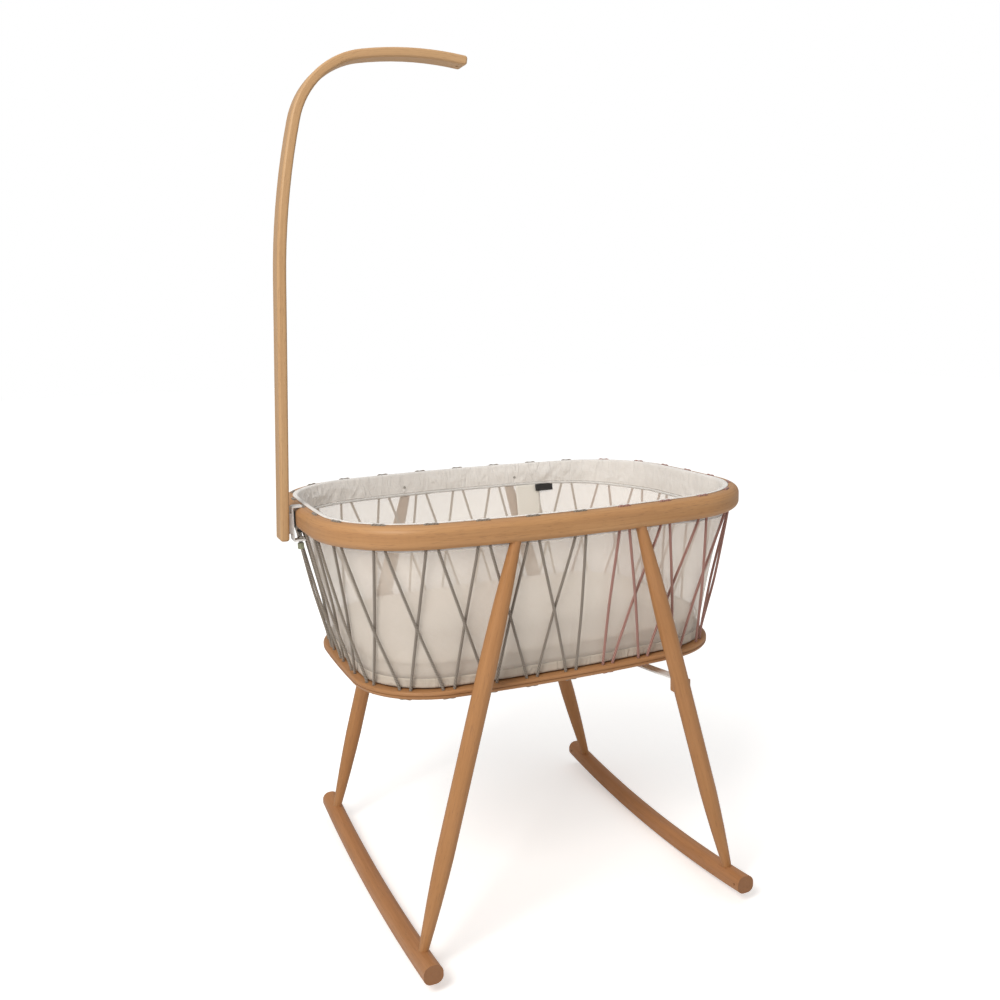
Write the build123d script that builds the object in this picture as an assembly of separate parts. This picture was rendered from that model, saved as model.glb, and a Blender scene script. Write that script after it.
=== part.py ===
from build123d import *
import os
from math import atan2, cos, degrees, hypot, pi, sin, sqrt

# A rope-laced bassinet basket on a rocking stand, with a clamped canopy pole.
# Millimetres. +Z is up and z = 0 is the floor under the middle of the rockers.
# X runs along the basket and Y across it, and the front is -Y.
# Each piece is modelled with the basket's centre at X = 0. save() then moves it by
# RIM_X, which puts the origin under the middle of the whole object's box.

# ---- Driving dimensions ----
RIM_TOP = 762
RIM_HEIGHT = 40
RIM_INSIDE = 12             # wood between the stitch line and the rim's inner face
RIM_OUTSIDE = 16            # wood between the stitch line and the rim's outer face
RIM_OUTER_ROUND = 13.5
RIM_INNER_ROUND = 7
STITCH_OVAL = (400, 292, 1660, 3000, 180)   # half length, half width, side, end, corner radius

BASE_BOTTOM = 457
BASE_THICK = 14
BASE_OVAL = (354, 257, 2200, 3000, 150)
BASE_RING_WIDTH = 44
PANEL_THICK = 8
PANEL_INSET = 30            # from the base's edge to the rebate that holds the panel
BASE_HOLE_INSET = 9.5       # from the base's edge to the line of rope holes
BASE_SCREWS = 12

STITCHES = 28
STITCH_LENGTH = 20          # between the two holes of one stitch
ROPE_R = 2.5
ROPE_HOLE_R = 3.1
ROPE_SINK = 0.2             # the rope's centre line below the face that its groove is cut in
GROOVE_DEPTH = 3.1
CROSSING = 0.553            # fraction of the way down at which two ropes cross
CROSSING_BOW = 3.8          # each rope's outward or inward bow there
KNOT_R = 4.4
ROSE_STITCHES = range(1, 11)    # the stitches that the second, rose rope makes

LEG_Y = 290
LEG_FOOT_X = 303
LEG_FOOT_Z = 47.5
LEG_TOP_X = 118
LEG_R = (8.4, 12.9, 15.6, 13.4, 9.2)    # foot, shin, middle, thigh and neck
LEG_AT = (0, 80, 165, 480, 600, 697)    # their places along the leg, the middle's from 165 to 480
TENON_R = 6
TENON_DEPTH = 18
DOWEL_R = 4
DOWEL_DEPTH = 22

ROCKER_X = 305
ROCKER_BEND = 2880          # radius of the rocker's bottom line
ROCKER_HALF = 346
ROCKER_WIDE = 34
ROCKER_TALL = 33.5
ROCKER_TOP_ROUND = 15
ROCKER_BOTTOM_ROUND = 13
ROCKER_HOLE_Y = 334
ROCKER_HOLE_R = 2.2
ROCKER_HOLE_DEPTH = 10

BAND_BOTTOM = 719           # the liner's cotton band, inside the rim
BAND_THICK = 2
BAND_FLAP = 3.7             # from the stitch line to the edge of the band's turned-out flap
PIPING = 3
HEM_TOP = 490
HEM_BOTTOM = 475
HEM_INSET = 14.5            # from the base's edge to the liner's hem
MESH_THICK = 1.2
FLOOR_INSET = 22
MATTRESS_TOP = 524
MATTRESS_INSET = 3.5        # inside the hem
COVER_THICK = 1.6
LABEL = (56, 70, 0.8)       # wide, tall, thick
LABEL_X = 155
TAG = (42, 15, 1.2)
TAG_X = 193
LABEL_TILT = 9.5            # degrees, along the mesh wall
LABEL_CLEAR = 1.5           # between the labels and the mesh wall
STUD_X = 127
STUD_Z = 734

POLE_THICK = 16             # in the plane of its bend
POLE_WIDE = 42
POLE_FOOT = (-438.4, 705.8)
POLE_LEAN = 0.0475          # angle of its straight stretch from upright, radians
POLE_STRAIGHT = 450
POLE_BENDS = ((1340, 0.245), (148, 1.40), (600, 1.718))     # radius, lean at its end
POLE_ROUND = 4.5
CANOPY_HOLE_R = 2.5
CANOPY_HOLE_INSET = 12      # from the pole's tip

BRACKET_WIDE = 20
BRACKET_THICK = 3
BRACKET_ARM_Z = (705, 762.4)    # the lower arm's top face and the upper arm's underside
ARM_TIPS = (-400.5, -403.5)     # the lower arm's tip, and the upper arm's, clear of a stitch
RIM_GAP = 0.35              # between the clamp's pads and the rim
RUBBER = (3, 20, 28)        # thick, wide, tall
SCREW_X = -407.5
SCREW_R = 2.95
SCREW_TIP_R = 1.95
RUN_CLEAR = 0.05            # radial clearance of a turning fit
NUT_TALL = 4
NUT_FLATS = 10
CLAMP_PAD = (5, 4)          # radius, tall
KNOB = (5.6, 11.3)          # radius, tall
KNOB_TOP = 697.8
SPACER_Z = (717, 753)

BLOCK_X = (199, 223)        # wooden blocks on the two right legs, under the base
BLOCK_Z = (403, 429)
BLOCK_INSIDE = 255          # distance of their inner face from the middle plane
TIE_WIDE = 20
TIE_THICK = 3
TIE_X = 207                 # the steel tie's ends
TIE_BOW = 40                # how far its middle bows towards the basket's centre
TIE_HALF = 273

# ---- Derived dimensions ----
RIM_BOTTOM = RIM_TOP - RIM_HEIGHT
BASE_TOP = BASE_BOTTOM + BASE_THICK
RIM_END = STITCH_OVAL[0] + RIM_OUTSIDE
POLE_OUTER = -POLE_FOOT[0] + POLE_THICK / 2 / cos(POLE_LEAN)
RIM_X = (POLE_OUTER - RIM_END) / 2
PLATE_INNER = -(RIM_END + RIM_GAP + RUBBER[0])      # the bracket plate's face towards the rim
PLATE_OUTER = PLATE_INNER - BRACKET_THICK


class Oval:
    """A closed outline of two side arcs, two end arcs and four corner arcs, all tangent."""

    def __init__(self, half_length, half_width, side, end, corner):
        self.a, self.b, self.side, self.end, self.corner = half_length, half_width, side, end, corner
        side_y, end_x = half_width - side, half_length - end        # the arcs' centres
        near, far = side - corner, end - corner
        gap = hypot(end_x, side_y)
        along = (near**2 - far**2 + gap**2) / (2 * gap)
        across = sqrt(near**2 - along**2)
        ux, uy = end_x / gap, -side_y / gap
        self.cx = ux * along + uy * across
        self.cy = side_y + uy * along - ux * across
        self.side_turn = atan2(self.cx, self.cy - side_y)
        self.end_turn = atan2(self.cy, self.cx - end_x)
        self.lengths = (side * self.side_turn,
                        corner * (pi / 2 - self.side_turn - self.end_turn),
                        end * self.end_turn)
        self.perimeter = 4 * sum(self.lengths)

    def offset(self, d):
        return Oval(self.a + d, self.b + d, self.side + d, self.end + d, self.corner + d)

    def radii(self):
        return {round(r, 3) for r in (self.side, self.end, self.corner)}

    def quarter(self, s):
        """The point and the normal's turn from Y, at arc length s from the side's middle."""
        first, second, _ = self.lengths
        if s <= first:
            t = s / self.side
            return self.side * sin(t), self.side * cos(t) + self.b - self.side, t
        if s <= first + second:
            t = self.side_turn + (s - first) / self.corner
            return self.cx + self.corner * sin(t), self.cy + self.corner * cos(t), t
        t = pi / 2 - self.end_turn + (s - first - second) / self.end
        return self.end * sin(t) + self.a - self.end, self.end * cos(t), t

    def at(self, s):
        """Point and outward normal at arc length s from the front's middle, going to the right."""
        s = s % self.perimeter
        half = self.perimeter / 2
        folded = s if s <= half else self.perimeter - s
        x, y, t = self.quarter(min(folded, half - folded))
        nx, ny = sin(t), cos(t)
        sign_x = 1 if s <= half else -1
        sign_y = -1 if folded <= half / 2 else 1
        return (x * sign_x, y * sign_y), (nx * sign_x, ny * sign_y)

    def face(self, z):
        first, second, third = self.lengths
        stops = [0, first, first + second, sum(self.lengths)]
        quarter = sum(self.lengths)
        marks = stops + [2 * quarter - s for s in stops[-2::-1]]
        marks += [2 * quarter + s for s in stops[1:]] + [4 * quarter - s for s in stops[-2::-1]]
        arcs = []
        for s0, s1 in zip(marks, marks[1:]):
            ends = [self.at(s)[0] for s in (s0, (s0 + s1) / 2, s1)]
            arcs.append(ThreePointArc(*[(x, y, z) for x, y in ends]))
        return Face(Wire(arcs))

    def prism(self, z0, z1):
        return extrude(self.face(z0), amount=z1 - z0, dir=(0, 0, 1))


def ring(outer, inner, z0, z1):
    return outer.prism(z0, z1) - inner.prism(z0, z1)


def level_edges(solid, z, oval=None):
    """The solid's edges that lie at height z, and on the given oval if there is one."""
    edges = [e for e in solid.edges() if abs(e.bounding_box().min.Z - z) < 1e-3
             and abs(e.bounding_box().max.Z - z) < 1e-3]
    if oval is None:
        return edges
    return [e for e in edges if e.geom_type == GeomType.CIRCLE and round(e.radius, 3) in oval.radii()]


def upright(x, y, z0, z1, radius):
    return Pos(x, y, (z0 + z1) / 2) * Cylinder(radius, z1 - z0)


def block(x, y, z):
    """A box from its lowest and highest corner."""
    size = [b - a for a, b in (x, y, z)]
    middle = [(a + b) / 2 for a, b in (x, y, z)]
    return Pos(*middle) * Box(*size)


def save(node, shape):
    solids = [Pos(RIM_X, 0, 0) * solid for solid in shape.solids()]
    moved = Compound(solids) if len(solids) > 1 else solids[0]
    moved.label = node
    export_step(moved, f"parts/{node}.step")


# ---- The outlines that the basket is set out on ----
stitch_line = Oval(*STITCH_OVAL)
rim_outer = stitch_line.offset(RIM_OUTSIDE)
rim_inner = stitch_line.offset(-RIM_INSIDE)
base_edge = Oval(*BASE_OVAL)
base_holes = base_edge.offset(-BASE_HOLE_INSET)
hem_line = base_edge.offset(-HEM_INSET)


def stitch_holes(line, j):
    """The left hole, the right hole and the chord's middle of stitch or base pair j."""
    s = j * line.perimeter / STITCHES
    left, right = line.at(s - STITCH_LENGTH / 2)[0], line.at(s + STITCH_LENGTH / 2)[0]
    return left, right, ((left[0] + right[0]) / 2, (left[1] + right[1]) / 2)


def stitch_cutters(line, z0, z1, groove_z):
    """Two holes for every stitch, and the groove that the rope lies in between them."""
    cutters = []
    for j in range(STITCHES):
        left, right, middle = stitch_holes(line, j)
        cutters += [upright(*left, z0, z1, ROPE_HOLE_R), upright(*right, z0, z1, ROPE_HOLE_R)]
        turn = degrees(atan2(right[1] - left[1], right[0] - left[0]))
        chord = hypot(right[0] - left[0], right[1] - left[1])
        cutters.append(Pos(*middle, groove_z) * Rot(0, 0, turn)
                       * Box(chord, 2 * ROPE_HOLE_R, 2 * GROOVE_DEPTH))
    return cutters


def make_rim_blank():
    blank = ring(rim_outer, rim_inner, RIM_BOTTOM, RIM_TOP)
    outer = [e for z in (RIM_BOTTOM, RIM_TOP) for e in level_edges(blank, z, rim_outer)]
    blank = fillet(outer, RIM_OUTER_ROUND)
    inner = [e for z in (RIM_BOTTOM, RIM_TOP) for e in level_edges(blank, z, rim_inner)]
    return fillet(inner, RIM_INNER_ROUND)


def make_base():
    """The base: a grooved ring, the panel let into its rebate, and the screws from below."""
    rebate = BASE_TOP - PANEL_THICK
    wood = ring(base_edge, base_edge.offset(-BASE_RING_WIDTH), BASE_BOTTOM, BASE_TOP)
    wood = fillet(level_edges(wood, BASE_TOP, base_edge), 4)
    wood = fillet(level_edges(wood, BASE_BOTTOM, base_edge), 6)
    wood -= base_edge.offset(-PANEL_INSET).prism(rebate, BASE_TOP)
    middle = BASE_BOTTOM + BASE_THICK / 2
    wood -= ring(base_edge.offset(5), base_edge.offset(-1.6), middle - 0.5, middle + 1.1)
    wood -= stitch_cutters(base_holes, BASE_BOTTOM, BASE_TOP, BASE_BOTTOM)
    panel = base_edge.offset(-PANEL_INSET - 0.3).prism(rebate, BASE_TOP)
    line = base_edge.offset(-(PANEL_INSET + BASE_RING_WIDTH) / 2)
    screws = []
    for i in range(BASE_SCREWS):
        x, y = line.at((i + 0.5) * line.perimeter / BASE_SCREWS)[0]
        shank = upright(x, y, BASE_BOTTOM, BASE_TOP - 2, 2)
        head = Pos(x, y, BASE_BOTTOM + 1.25) * Cone(3.8, 2, 2.5)
        screws.append(shank + head)
    wood -= screws
    panel -= screws
    return wood, panel, Compound(children=screws)


def make_rope(j, side):
    """One run of rope: half a rim stitch, a hole, the span down, a hole, half a base stitch."""
    left, right, top_middle = stitch_holes(stitch_line, j)
    top = left if side == "left" else right
    if (j, side) == (0, "right"):
        pair, base_side = 0, "right"        # the two ropes meet at the front's middle,
    elif (j, side) == (1, "left"):
        pair, base_side = 1, "left"         # where these two runs go straight down
    elif side == "right":
        pair, base_side = j + 1, "left"
    else:
        pair, base_side = j - 1, "right"
    base_left, base_right, base_middle = stitch_holes(base_holes, pair)
    foot = base_left if base_side == "left" else base_right
    normal = stitch_line.at(j * stitch_line.perimeter / STITCHES)[1]
    bow = CROSSING_BOW if side == "right" else -CROSSING_BOW
    high, low = RIM_BOTTOM - 2, BASE_TOP + 2
    crossing = (top[0] + (foot[0] - top[0]) * CROSSING + normal[0] * bow,
                top[1] + (foot[1] - top[1]) * CROSSING + normal[1] * bow,
                high + (low - high) * CROSSING)
    points = [(*top_middle, RIM_TOP - ROPE_SINK), (*top, RIM_TOP - ROPE_SINK), (*top, high),
              crossing,
              (*foot, low), (*foot, BASE_BOTTOM + ROPE_SINK), (*base_middle, BASE_BOTTOM + ROPE_SINK)]
    path = FilletPolyline(*points, radius=[4, 8, 1200, 8, 4])
    start = Plane(origin=path @ 0, z_dir=path % 0)
    run = sweep(start * Circle(ROPE_R), path=path)
    return run, path.length


def make_ropes():
    taupe, rose = [], []
    for j in range(STITCHES):
        for side in ("left", "right"):
            run, length = make_rope(j, side)
            wanted = pi * ROPE_R**2 * length
            if abs(run.volume - wanted) > 0.01 * wanted:
                print("rope", j, side, "volume", run.volume, "wanted", wanted)
            (rose if j in ROSE_STITCHES else taupe).append((run, length))
    for name, runs in (("taupe", taupe), ("rose", rose)):
        print(name, "rope length", round(sum(length for _, length in runs)))
    knots = []
    last = ROSE_STITCHES[-1]
    for pair in (last, last + 1):
        x, y = stitch_holes(base_holes, pair)[2]
        knots.append(Pos(x, y, BASE_BOTTOM + ROPE_SINK - ROPE_R - KNOT_R - 0.1) * Sphere(KNOT_R))
    return (Compound(children=[run for run, _ in taupe]), Compound(children=[run for run, _ in rose]),
            Compound(children=knots))


def make_rocker_blank(side):
    """A bar bent to a large radius, with well-rounded edges and flat ends."""
    centre_z = ROCKER_BEND
    drum = Rot(0, 90, 0) * Cylinder(ROCKER_BEND, ROCKER_WIDE)
    hollow = Rot(0, 90, 0) * Cylinder(ROCKER_BEND - ROCKER_TALL, ROCKER_WIDE)
    bar = Pos(side * ROCKER_X, 0, centre_z) * (drum - hollow)
    bar &= block((side * ROCKER_X - 40, side * ROCKER_X + 40), (-ROCKER_HALF, ROCKER_HALF), (-1, 200))
    long_edges = [e for e in bar.edges() if e.length > ROCKER_HALF]
    top = [e for e in long_edges if round(e.radius, 2) == ROCKER_BEND - ROCKER_TALL]
    bottom = [e for e in long_edges if round(e.radius, 2) == ROCKER_BEND]
    bar = fillet(top, ROCKER_TOP_ROUND)
    bottom = [e for e in bar.edges() if e.length > ROCKER_HALF and e.geom_type == GeomType.CIRCLE
              and round(e.radius, 2) == ROCKER_BEND]
    return fillet(bottom, ROCKER_BOTTOM_ROUND)


def leg_frame(side, end):
    """A plane at the leg's foot whose Z runs up the leg's axis."""
    foot = Vector(side * LEG_FOOT_X, end * LEG_Y, LEG_FOOT_Z)
    top = Vector(side * LEG_TOP_X, end * LEG_Y, RIM_BOTTOM)
    return Plane(origin=foot, x_dir=(0, 1, 0), z_dir=(top - foot).normalized())


def make_leg(side, end, rim_blank, rocker_blank):
    foot, shin, middle, thigh, neck = LEG_R
    outline = [Line((0, -30), (foot, -30)), Line((foot, -30), (foot, 0)),
               ThreePointArc((foot, LEG_AT[0]), (shin, LEG_AT[1]), (middle, LEG_AT[2])),
               Line((middle, LEG_AT[2]), (middle, LEG_AT[3])),
               ThreePointArc((middle, LEG_AT[3]), (thigh, LEG_AT[4]), (neck, LEG_AT[5])),
               Line((neck, LEG_AT[5]), (neck, LEG_AT[5] + 30)),
               Line((neck, LEG_AT[5] + 30), (0, LEG_AT[5] + 30)),
               Line((0, LEG_AT[5] + 30), (0, -30))]
    turned = revolve(Plane.XZ * Face(Wire(outline)), Axis.Z)
    frame = leg_frame(side, end)
    leg = frame * turned - rim_blank - rocker_blank
    leg = max(leg.solids(), key=lambda s: s.volume)
    tenon = frame * Pos(0, 0, -TENON_DEPTH / 2) * Cylinder(TENON_R, TENON_DEPTH + 8)
    top = (Vector(side * LEG_TOP_X, end * LEG_Y, RIM_BOTTOM) - frame.origin).length
    dowel = frame * Pos(0, 0, top) * Cylinder(DOWEL_R, 2 * DOWEL_DEPTH)
    return (leg - dowel) + tenon, tenon, dowel


def pole_outline():
    """The pole's side view in X and Z, as the arcs of its two faces and its two ends."""
    x, z = POLE_FOOT
    lean = POLE_LEAN
    half = POLE_THICK / 2

    def across(x, z, lean, d):
        return x + d * cos(lean), z - d * sin(lean)

    inner, outer = [], []
    x1, z1 = x + POLE_STRAIGHT * sin(lean), z + POLE_STRAIGHT * cos(lean)
    for d, side in ((half, inner), (-half, outer)):
        side.append(Line(across(x, z, lean, d), across(x1, z1, lean, d)))
    foot = Line(across(x, z, lean, -half), across(x, z, lean, half))
    x, z = x1, z1
    for radius, next_lean in POLE_BENDS:
        cx, cz = x + radius * cos(lean), z - radius * sin(lean)
        for d, side in ((half, inner), (-half, outer)):
            r = radius - d
            side.append(ThreePointArc(*[(cx - r * cos(t), cz + r * sin(t))
                                        for t in (lean, (lean + next_lean) / 2, next_lean)]))
        x, z, lean = cx - radius * cos(next_lean), cz + radius * sin(next_lean), next_lean
    tip = Line(across(x, z, lean, half), across(x, z, lean, -half))
    return [foot, *inner, tip, *outer], (x, z, lean)


def make_pole():
    outline, (tip_x, tip_z, lean) = pole_outline()
    side_view = Plane.XZ * Face(Wire(outline))
    pole = extrude(side_view, amount=POLE_WIDE / 2, both=True)
    corners = [e for e in pole.edges() if abs(e.length - POLE_WIDE) < 1e-3
               and (e.center().Z < POLE_FOOT[1] + POLE_THICK or e.center().X > tip_x - POLE_THICK)]
    pole = fillet(corners, 5)
    faces = [e for e in pole.edges() if abs(abs(e.center().Y) - POLE_WIDE / 2) < 1e-3]
    pole = fillet(faces, POLE_ROUND)
    hole_x = tip_x - CANOPY_HOLE_INSET * sin(lean)
    hole_z = tip_z - CANOPY_HOLE_INSET * cos(lean)
    hole = Pos(hole_x, 0, hole_z) * Rot(0, degrees(lean) + 90, 0) * Cylinder(CANOPY_HOLE_R, 2 * POLE_THICK)
    print("canopy hole at", round(hole_x + RIM_X, 2), round(hole_z, 2), "lean", round(lean, 4))
    return pole - hole


def make_clamp(pole):
    """The white bracket, its pads, and the screw that presses up under the rim."""
    low, high = BRACKET_ARM_Z
    wide = (-BRACKET_WIDE / 2, BRACKET_WIDE / 2)
    outside = block((PLATE_OUTER, ARM_TIPS[0]), wide, (low - BRACKET_THICK, high + BRACKET_THICK))
    outside = fillet([e for e in outside.edges() if abs(e.center().X - PLATE_OUTER) < 1e-3
                      and abs(e.length - BRACKET_WIDE) < 1e-3], 4)
    inside = block((PLATE_INNER, ARM_TIPS[0] + 1), (wide[0] - 1, wide[1] + 1), (low, high))
    above = block((ARM_TIPS[1], ARM_TIPS[0] + 1), (wide[0] - 1, wide[1] + 1), (high - 1, high + 9))
    bracket = outside - inside - above
    hole = upright(SCREW_X, 0, low - 10, low + 10, SCREW_R + RUN_CLEAR)
    rubber_x = (PLATE_INNER, PLATE_INNER + RUBBER[0])
    middle = RIM_BOTTOM + RIM_HEIGHT / 2
    rubber = block(rubber_x, (-RUBBER[1] / 2, RUBBER[1] / 2),
                   (middle - RUBBER[2] / 2, middle + RUBBER[2] / 2))
    spacer = block((PLATE_OUTER - 20, PLATE_OUTER), wide, SPACER_Z) - pole
    spacer = max(spacer.solids(), key=lambda s: s.center().X)
    screws = []
    for z in (SPACER_Z[0] + 9, SPACER_Z[1] - 9):
        shank = Pos(PLATE_INNER - 9.5, 0, z) * Rot(0, 90, 0) * Cylinder(2, 19)
        head = Pos(PLATE_INNER - 1.1, 0, z) * Rot(0, 90, 0) * Cone(2, 4, 2.2)
        screws.append(shank + head)
    nut = Pos(SCREW_X, 0, low) * extrude(RegularPolygon(NUT_FLATS / 2, 6, major_radius=False),
                                         amount=NUT_TALL)
    radius, tall = CLAMP_PAD
    pad_top = RIM_BOTTOM - RIM_GAP
    pad = upright(SCREW_X, 0, pad_top - tall, pad_top, radius)
    pad = fillet(level_edges(pad, pad_top), 0.8)
    pad -= upright(SCREW_X, 0, pad_top - tall, pad_top - 1.5, SCREW_TIP_R + RUN_CLEAR)
    screw = upright(SCREW_X, 0, KNOB_TOP - 8, pad_top - tall - 0.1, SCREW_R)
    screw += upright(SCREW_X, 0, pad_top - tall - 1, pad_top - 1.8, SCREW_TIP_R)
    knob = upright(SCREW_X, 0, KNOB_TOP - KNOB[1], KNOB_TOP, KNOB[0])
    knob = fillet(level_edges(knob, KNOB_TOP) + level_edges(knob, KNOB_TOP - KNOB[1]), 1.5)
    grips = [Rot(0, 0, 30 * i) * Pos(KNOB[0] + 0.5, 0, 0) * Cylinder(1.1, 40) for i in range(12)]
    knob -= Pos(SCREW_X, 0, KNOB_TOP) * Compound(children=grips)
    knob -= screw
    return {
        "clamp_bracket": bracket - hole - screws,
        "clamp_rubber": rubber,
        "pole_spacer": spacer - screws,
        "pole_screws": Compound(children=screws),
        "clamp_nut": nut - hole,
        "clamp_pad": pad,
        "clamp_screw": screw,
        "clamp_knob": knob,
    }, screws


def make_tie(legs):
    """Right-hand pair of legs: the wooden blocks, and the bowed steel tie screwed onto them."""
    blocks, screws = {}, []
    for name, end in (("front", -1), ("back", 1)):
        y = sorted((end * BLOCK_INSIDE, end * (LEG_Y - 6)))
        wood = block(BLOCK_X, y, BLOCK_Z) - legs[name]
        wood = max(wood.solids(), key=lambda s: s.volume)
        screw = upright(TIE_X + 2, end * (BLOCK_INSIDE + 9), BLOCK_Z[1] - 14, BLOCK_Z[1] + TIE_THICK, 2)
        screw += upright(TIE_X + 2, end * (BLOCK_INSIDE + 9), BLOCK_Z[1] + TIE_THICK,
                         BLOCK_Z[1] + TIE_THICK + 2, 3.8)
        blocks[name] = wood - screw
        screws.append(screw)
    radius = (TIE_HALF**2 + TIE_BOW**2) / (2 * TIE_BOW)
    curve = Cylinder(radius + TIE_WIDE / 2, TIE_THICK) - Cylinder(radius - TIE_WIDE / 2, TIE_THICK)
    tie = Pos(TIE_X - TIE_BOW + radius, 0, BLOCK_Z[1] + TIE_THICK / 2) * curve
    tie &= block((0, TIE_X + 60), (-TIE_HALF, TIE_HALF), (BLOCK_Z[0], BLOCK_Z[1] + 10))
    tie -= screws
    return blocks, tie, Compound(children=screws)


def make_liner():
    """The fabric liner as plain thin solids: band, piping, mesh wall, hem and floor."""
    face = stitch_line.offset(-RIM_INSIDE - 0.4)
    flap = stitch_line.offset(-BAND_FLAP)
    inside = face.offset(-BAND_THICK)
    band = ring(face, inside, BAND_BOTTOM, RIM_TOP + 0.3) + ring(flap, inside, RIM_TOP + 0.3, RIM_TOP + 1.6)
    piping = ring(face, face.offset(-PIPING), BAND_BOTTOM - PIPING, BAND_BOTTOM)
    wall_top = BAND_BOTTOM - PIPING
    outer = loft([hem_line.face(HEM_TOP), face.offset(-0.5).face(wall_top)], ruled=True)
    inner = loft([hem_line.offset(-MESH_THICK).face(HEM_TOP),
                  face.offset(-0.5 - MESH_THICK).face(wall_top)], ruled=True)
    mesh = outer - inner
    hem = ring(hem_line, hem_line.offset(-BAND_THICK), HEM_BOTTOM, HEM_TOP)
    floor_line = base_edge.offset(-FLOOR_INSET)
    bottom = BASE_TOP + 0.2
    tray = loft([floor_line.face(bottom), hem_line.offset(-0.3).face(HEM_BOTTOM)], ruled=True)
    scoop = loft([floor_line.offset(-1.3).face(bottom + 1.1), hem_line.offset(-1.6).face(HEM_BOTTOM)],
                 ruled=True)
    studs = []
    for end in (-1, 1):
        y = end * (inside.quarter(STUD_X)[1] - 0.6)
        studs += [Pos(x, y, STUD_Z) * Rot(90, 0, 0) * Cylinder(2.6, 1.2) for x in (-STUD_X, STUD_X)]
    return {"liner_band": band - studs, "liner_piping": piping, "liner_mesh": mesh, "liner_hem": hem,
            "liner_floor": tray - scoop, "liner_studs": Compound(children=studs)}


def make_labels():
    """The blank care label and the small dark tag, hanging from the piping at the back."""
    line = stitch_line.offset(-RIM_INSIDE - PIPING - 1)
    made = []
    for (wide, tall, thick), x in ((LABEL, LABEL_X), (TAG, TAG_X)):
        y = line.quarter(x)[1] - thick - LABEL_CLEAR
        hanging = block((-wide / 2, wide / 2), (-thick, 0), (-tall, 0))
        made.append(Pos(x, y, BAND_BOTTOM - PIPING) * Rot(-LABEL_TILT, 0, 0) * hanging)
    return made


def make_mattress():
    line = hem_line.offset(-MATTRESS_INSET)
    bottom = BASE_TOP + 2.4
    seam = bottom + COVER_THICK
    cover_base = line.offset(-8).prism(bottom, seam)
    outside = fillet(level_edges(line.prism(seam, MATTRESS_TOP), MATTRESS_TOP), 8)
    inside = line.offset(-COVER_THICK).prism(seam, MATTRESS_TOP - COVER_THICK)
    inside = fillet(level_edges(inside, MATTRESS_TOP - COVER_THICK), 8 - COVER_THICK)
    core = line.offset(-COVER_THICK - 0.1).prism(seam, MATTRESS_TOP - COVER_THICK - 0.1)
    core = fillet(level_edges(core, MATTRESS_TOP - COVER_THICK - 0.1), 8 - COVER_THICK)
    return {"mattress_core": core, "mattress_cover_top": outside - inside,
            "mattress_cover_base": cover_base}


os.makedirs("parts", exist_ok=True)

rim_blank = make_rim_blank()
rim = rim_blank - stitch_cutters(stitch_line, RIM_BOTTOM, RIM_TOP, RIM_TOP)
rockers = {}
legs = {}
dowels = []
right_legs = {}
for side_name, side in (("left", -1), ("right", 1)):
    rocker_blank = make_rocker_blank(side)
    rocker = rocker_blank
    for end_name, end in (("front", -1), ("back", 1)):
        leg, tenon, dowel = make_leg(side, end, rim_blank, rocker_blank)
        legs[f"leg_{end_name}_{side_name}"] = leg
        if side_name == "right":
            right_legs[end_name] = leg
        rocker -= tenon
        dowels.append(dowel)
        hole_z = ROCKER_BEND - sqrt(ROCKER_BEND**2 - ROCKER_HOLE_Y**2) + ROCKER_TALL / 2
        inner_face = side * (ROCKER_X - ROCKER_WIDE / 2)
        rocker -= Pos(inner_face, end * ROCKER_HOLE_Y, hole_z) * Rot(0, 90, 0) \
            * Cylinder(ROCKER_HOLE_R, 2 * ROCKER_HOLE_DEPTH)
    rockers[f"rocker_{side_name}"] = rocker
rim -= dowels

base_ring, base_panel, base_screws = make_base()
rope_taupe, rope_rose, rope_knots = make_ropes()
pole = make_pole()
clamp, pole_screws = make_clamp(pole)
blocks, tie, tie_screws = make_tie(right_legs)
care_label, liner_tag = make_labels()

save("rim", rim)
for node, shape in {**legs, **rockers}.items():
    save(node, shape)
save("leg_dowels", Compound(children=dowels))
save("base_ring", base_ring)
save("base_panel", base_panel)
save("base_screws", base_screws)
save("tie_block_front", blocks["front"])
save("tie_block_back", blocks["back"])
save("leg_tie", tie)
save("tie_screws", tie_screws)
save("rope_taupe", rope_taupe)
save("rope_rose", rope_rose)
save("rope_knots", rope_knots)
for node, shape in make_liner().items():
    save(node, shape)
save("care_label", care_label)
save("liner_tag", liner_tag)
for node, shape in make_mattress().items():
    save(node, shape)
save("canopy_pole", pole - pole_screws)
for node, shape in clamp.items():
    save(node, shape)
print("basket centre at X", round(RIM_X, 3))
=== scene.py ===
import bmesh
import bpy
from math import atan2, cos, hypot, pi, sin, sqrt
from mathutils import Matrix, Vector, noise


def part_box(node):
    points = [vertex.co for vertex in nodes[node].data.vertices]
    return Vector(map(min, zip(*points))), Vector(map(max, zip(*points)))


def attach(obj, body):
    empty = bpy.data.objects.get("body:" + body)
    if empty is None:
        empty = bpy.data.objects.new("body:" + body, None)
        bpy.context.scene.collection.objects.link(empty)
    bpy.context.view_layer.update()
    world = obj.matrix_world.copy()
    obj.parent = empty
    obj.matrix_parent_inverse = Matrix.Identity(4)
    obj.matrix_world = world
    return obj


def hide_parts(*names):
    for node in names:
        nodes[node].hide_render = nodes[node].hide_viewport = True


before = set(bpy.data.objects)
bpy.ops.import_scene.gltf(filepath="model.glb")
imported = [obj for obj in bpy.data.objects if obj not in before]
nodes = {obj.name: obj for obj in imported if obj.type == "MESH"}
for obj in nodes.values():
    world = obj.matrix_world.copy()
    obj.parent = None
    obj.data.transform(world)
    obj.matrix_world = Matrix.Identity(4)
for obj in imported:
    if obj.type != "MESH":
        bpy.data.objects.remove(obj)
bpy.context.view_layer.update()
bpy.ops.object.select_all(action="DESELECT")


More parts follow.
